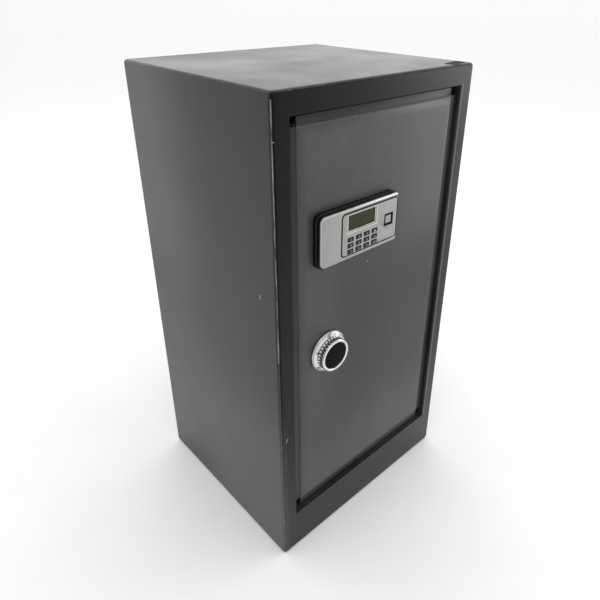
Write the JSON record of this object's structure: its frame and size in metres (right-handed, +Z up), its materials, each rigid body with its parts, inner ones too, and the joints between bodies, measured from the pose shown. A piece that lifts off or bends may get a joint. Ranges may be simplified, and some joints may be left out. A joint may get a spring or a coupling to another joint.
{
  "type": "gun safe",
  "caption": "Steel gun safe: welded box body, one recessed outward-opening door with a keypad lock, a turning knob, sliding round bolts and a shelf.",
  "frame": {"origin": "middle of the underside of the body", "axes": "+Z up, the door faces -Y, +X to the right of someone facing the door"},
  "size_m": [0.412, 0.388, 0.8],
  "materials": {
    "charcoal_paint": "semi-gloss dark charcoal paint",
    "zinc_steel": "zinc-plated steel",
    "bright_steel": "bright machined steel",
    "chrome": "polished chrome",
    "brass": "plain brass",
    "copper_winding": "enamelled copper winding on a nylon former",
    "black_plastic": "satin black moulded plastic",
    "silver_plastic": "silver-painted moulded plastic",
    "red_plastic": "red moulded plastic",
    "lcd_glass": "dark green-grey display window",
    "green_board": "green circuit board",
    "grey_felt": "dark grey felt"
  },
  "bodies": {
    "safe_body": {"body_shell": "charcoal_paint", "back_plate": "charcoal_paint", "hinge_block_top": "zinc_steel", "hinge_block_bottom": "zinc_steel", "bolt_strike": "charcoal_paint", "shelf_rail_left": "charcoal_paint", "shelf_rail_right": "charcoal_paint", "shelf": "charcoal_paint", "floor_mat": "grey_felt"},
    "door": {"door_pan": "charcoal_paint", "bolt_box": "charcoal_paint", "door_back_cover": "charcoal_paint", "anti_pry_bar": "zinc_steel", "hinge_pin_top": "bright_steel", "hinge_pin_bottom": "bright_steel", "guide_pin_upper": "bright_steel", "guide_pin_lower": "bright_steel", "cover_screw_1": "zinc_steel", "cover_screw_2": "zinc_steel", "cover_screw_3": "zinc_steel", "cover_screw_4": "zinc_steel", "knob_escutcheon": "chrome", "spindle_bush": "brass", "solenoid_yoke": "zinc_steel", "solenoid_coil": "copper_winding", "plunger_spring": "bright_steel", "keypad_housing": "black_plastic", "circuit_board": "green_board", "keypad_face": "silver_plastic", "lcd_module": "lcd_glass", "lock_body": "chrome", "battery_box": "black_plastic"},
    "bolt_work": {"bolt_carriage": "zinc_steel", "live_bolt_top": "bright_steel", "live_bolt_middle": "bright_steel", "live_bolt_bottom": "bright_steel"},
    "knob": {"knob_barrel": "chrome", "knob_cap": "black_plastic", "knob_spindle": "bright_steel", "drive_pinion": "bright_steel"},
    "plunger": {"solenoid_plunger": "bright_steel"},
    "lock_core": {"lock_plug": "brass", "lock_cam": "zinc_steel"},
    "cover_slide": {"key_cover": "silver_plastic"},
    "touch_pad": {"touch_button": "silver_plastic"},
    "battery_door": {"battery_lid": "black_plastic"},
    "reset": {"reset_button": "red_plastic"},
    "key_0_body": {"key_0": "black_plastic"},
    "key_1_body": {"key_1": "black_plastic"},
    "key_2_body": {"key_2": "black_plastic"},
    "key_3_body": {"key_3": "black_plastic"},
    "key_4_body": {"key_4": "black_plastic"},
    "key_5_body": {"key_5": "black_plastic"},
    "key_6_body": {"key_6": "black_plastic"},
    "key_7_body": {"key_7": "black_plastic"},
    "key_8_body": {"key_8": "black_plastic"},
    "key_9_body": {"key_9": "black_plastic"},
    "key_enter_body": {"key_enter": "black_plastic"},
    "key_lock_body": {"key_lock": "black_plastic"}
  },
  "joints": [
    {"name": "door_hinge", "type": "hinge", "parent": "safe_body", "child": "door", "pos_m": [0.16, -0.169, 0.083], "axis": [0, 0, 1], "range_deg": [0, 100]},
    {"name": "bolt_slide", "type": "slide", "parent": "door", "child": "bolt_work", "axis": [-1, 0, 0], "range_m": [0, 0.02199]},
    {"name": "knob_turn", "type": "hinge", "parent": "door", "child": "knob", "pos_m": [-0.108, -0.185, 0.3955], "axis": [0, -1, 0], "range_deg": [0, 90]},
    {"name": "plunger_slide", "type": "slide", "parent": "door", "child": "plunger", "axis": [0, 0, -1], "range_m": [0, 0.008], "deforming": ["plunger_spring"]},
    {"name": "lock_turn", "type": "hinge", "parent": "door", "child": "lock_core", "pos_m": [-0.112, -0.185, 0.59], "axis": [0, 1, 0], "range_deg": [-90, 0]},
    {"name": "key_cover_slide", "type": "slide", "parent": "door", "child": "cover_slide", "axis": [-1, 0, 0], "range_m": [0, 0.03]},
    {"name": "touch_button_press", "type": "slide", "parent": "door", "child": "touch_pad", "axis": [0, 1, 0], "range_m": [0, 0.001], "stiffness_N_per_m": 300},
    {"name": "battery_lid_slide", "type": "slide", "parent": "door", "child": "battery_door", "axis": [0, 0, -1], "range_m": [0, 0.075]},
    {"name": "reset_press", "type": "slide", "parent": "door", "child": "reset", "axis": [0, -1, 0], "range_m": [0, 0.0015], "stiffness_N_per_m": 300},
    {"name": "key_0_press", "type": "slide", "parent": "door", "child": "key_0_body", "axis": [0, 1, 0], "range_m": [0, 0.0012], "stiffness_N_per_m": 300},
    {"name": "key_1_press", "type": "slide", "parent": "door", "child": "key_1_body", "axis": [0, 1, 0], "range_m": [0, 0.0012], "stiffness_N_per_m": 300},
    {"name": "key_2_press", "type": "slide", "parent": "door", "child": "key_2_body", "axis": [0, 1, 0], "range_m": [0, 0.0012], "stiffness_N_per_m": 300},
    {"name": "key_3_press", "type": "slide", "parent": "door", "child": "key_3_body", "axis": [0, 1, 0], "range_m": [0, 0.0012], "stiffness_N_per_m": 300},
    {"name": "key_4_press", "type": "slide", "parent": "door", "child": "key_4_body", "axis": [0, 1, 0], "range_m": [0, 0.0012], "stiffness_N_per_m": 300},
    {"name": "key_5_press", "type": "slide", "parent": "door", "child": "key_5_body", "axis": [0, 1, 0], "range_m": [0, 0.0012], "stiffness_N_per_m": 300},
    {"name": "key_6_press", "type": "slide", "parent": "door", "child": "key_6_body", "axis": [0, 1, 0], "range_m": [0, 0.0012], "stiffness_N_per_m": 300},
    {"name": "key_7_press", "type": "slide", "parent": "door", "child": "key_7_body", "axis": [0, 1, 0], "range_m": [0, 0.0012], "stiffness_N_per_m": 300},
    {"name": "key_8_press", "type": "slide", "parent": "door", "child": "key_8_body", "axis": [0, 1, 0], "range_m": [0, 0.0012], "stiffness_N_per_m": 300},
    {"name": "key_9_press", "type": "slide", "parent": "door", "child": "key_9_body", "axis": [0, 1, 0], "range_m": [0, 0.0012], "stiffness_N_per_m": 300},
    {"name": "key_enter_press", "type": "slide", "parent": "door", "child": "key_enter_body", "axis": [0, 1, 0], "range_m": [0, 0.0012], "stiffness_N_per_m": 300},
    {"name": "key_lock_press", "type": "slide", "parent": "door", "child": "key_lock_body", "axis": [0, 1, 0], "range_m": [0, 0.0012], "stiffness_N_per_m": 300}
  ],
  "couplings": [
    {"joint": "knob_turn", "follows": "bolt_slide", "rad_per_m": 71.429}
  ]
}
